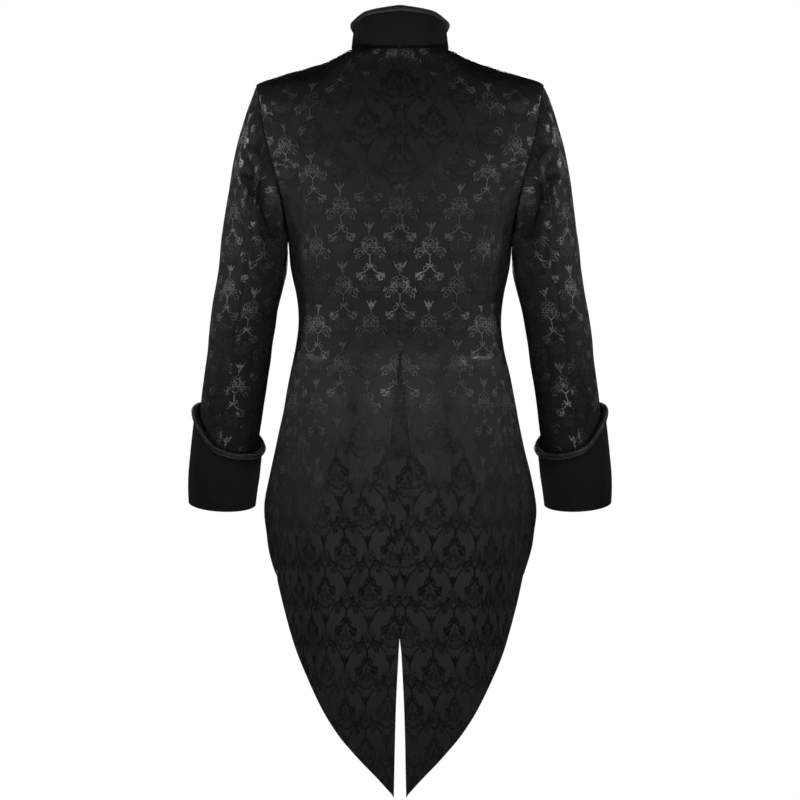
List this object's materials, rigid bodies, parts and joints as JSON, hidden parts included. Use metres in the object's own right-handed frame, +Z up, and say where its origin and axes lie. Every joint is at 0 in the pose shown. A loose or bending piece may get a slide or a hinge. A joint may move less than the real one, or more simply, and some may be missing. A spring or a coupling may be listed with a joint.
{
  "type": "tailcoat",
  "caption": "Fitted tailcoat in worn shape: jacquard body with cutaway front and pointed tails, velvet stand collar and shaped velvet cuffs edged with braid.",
  "frame": {"origin": "middle of the neck hole at the height of the two neck points of the shoulders, where the wearer's neck and shoulders carry the coat", "axes": "+Z up, +X towards the wearer's left, -Y towards the front, so +Y is the back with the tails"},
  "size_m": [0.6466, 0.2817, 1.158],
  "materials": {
    "jacquard": "black tone-on-tone jacquard with a soft sheen",
    "velvet": "black cotton velvet",
    "braid": "black woven braid",
    "button": "black, satin"
  },
  "bodies": {
    "root": {"back_left": "jacquard", "back_right": "jacquard", "side_body_left": "jacquard", "side_body_right": "jacquard", "front_left": "jacquard", "front_right": "jacquard", "vent_underlay_left": "jacquard", "vent_underlay_right": "jacquard", "top_sleeve_left": "jacquard", "top_sleeve_right": "jacquard", "under_sleeve_left": "jacquard", "under_sleeve_right": "jacquard", "cuff_left": "velvet", "cuff_right": "velvet", "cuff_braid_left": "braid", "cuff_braid_right": "braid", "collar": "velvet", "collar_braid": "braid", "button_1": "button", "button_2": "button", "button_3": "button", "button_4": "button", "button_5": "button"}
  },
  "joints": []
}
